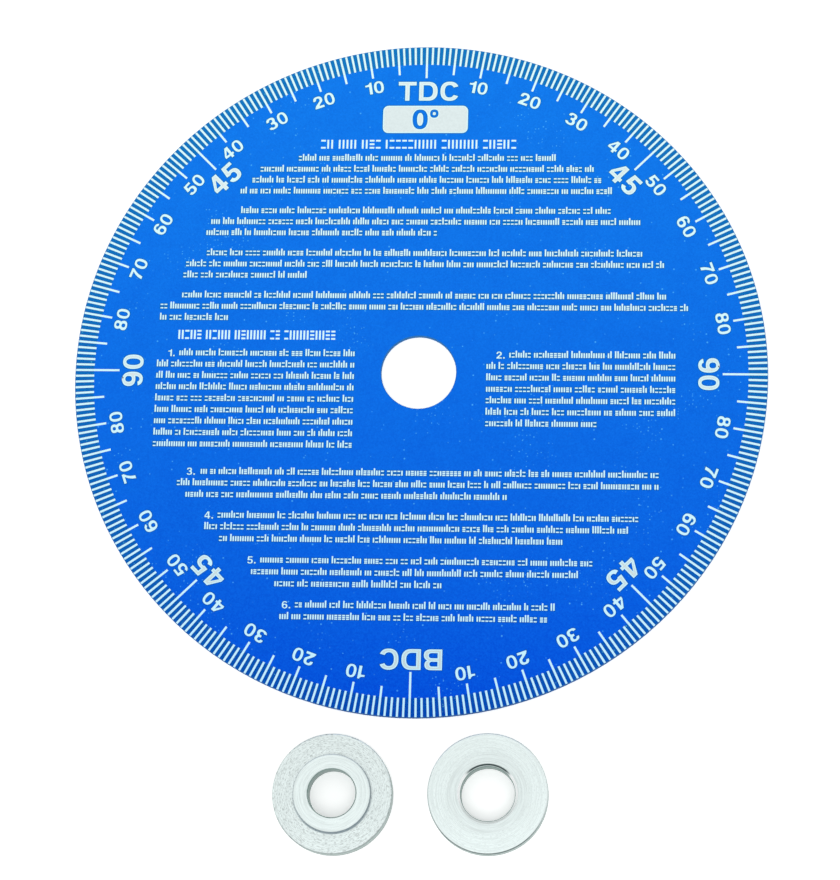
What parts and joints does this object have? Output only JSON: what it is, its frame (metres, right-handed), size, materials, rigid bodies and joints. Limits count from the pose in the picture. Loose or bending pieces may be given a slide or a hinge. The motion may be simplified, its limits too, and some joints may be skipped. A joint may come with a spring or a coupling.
{
  "type": "degree wheel",
  "caption": "Flat round wheel graduated in degrees at its rim, for timing an engine's crankshaft, with flanged bushings that fit its centre hole.",
  "frame": {"origin": "axis of the wheel's centre hole, on the wheel's back face, which lies on the surface that everything rests on", "axes": "+Z out of the graduated face, +Y from the centre towards the zero mark (TDC), +X towards the 90 degree mark on the right"},
  "size_m": [0.1905, 0.2272, 0.0063],
  "materials": {
    "blue_anodised": "blue anodised sheet, satin",
    "bare_aluminium": "turned, bright"
  },
  "bodies": {
    "wheel": {"degree_wheel": "blue_anodised"},
    "small_bushing": {"small_bore_bushing": "bare_aluminium"},
    "large_bushing": {"large_bore_bushing": "bare_aluminium"}
  },
  "joints": [
    {"name": "small_bushing_lift", "type": "slide", "parent": "wheel", "child": "small_bushing", "axis": [0, 0, 1], "range_m": [0, 0.06]},
    {"name": "large_bushing_lift", "type": "slide", "parent": "wheel", "child": "large_bushing", "axis": [0, 0, 1], "range_m": [0, 0.06]}
  ]
}
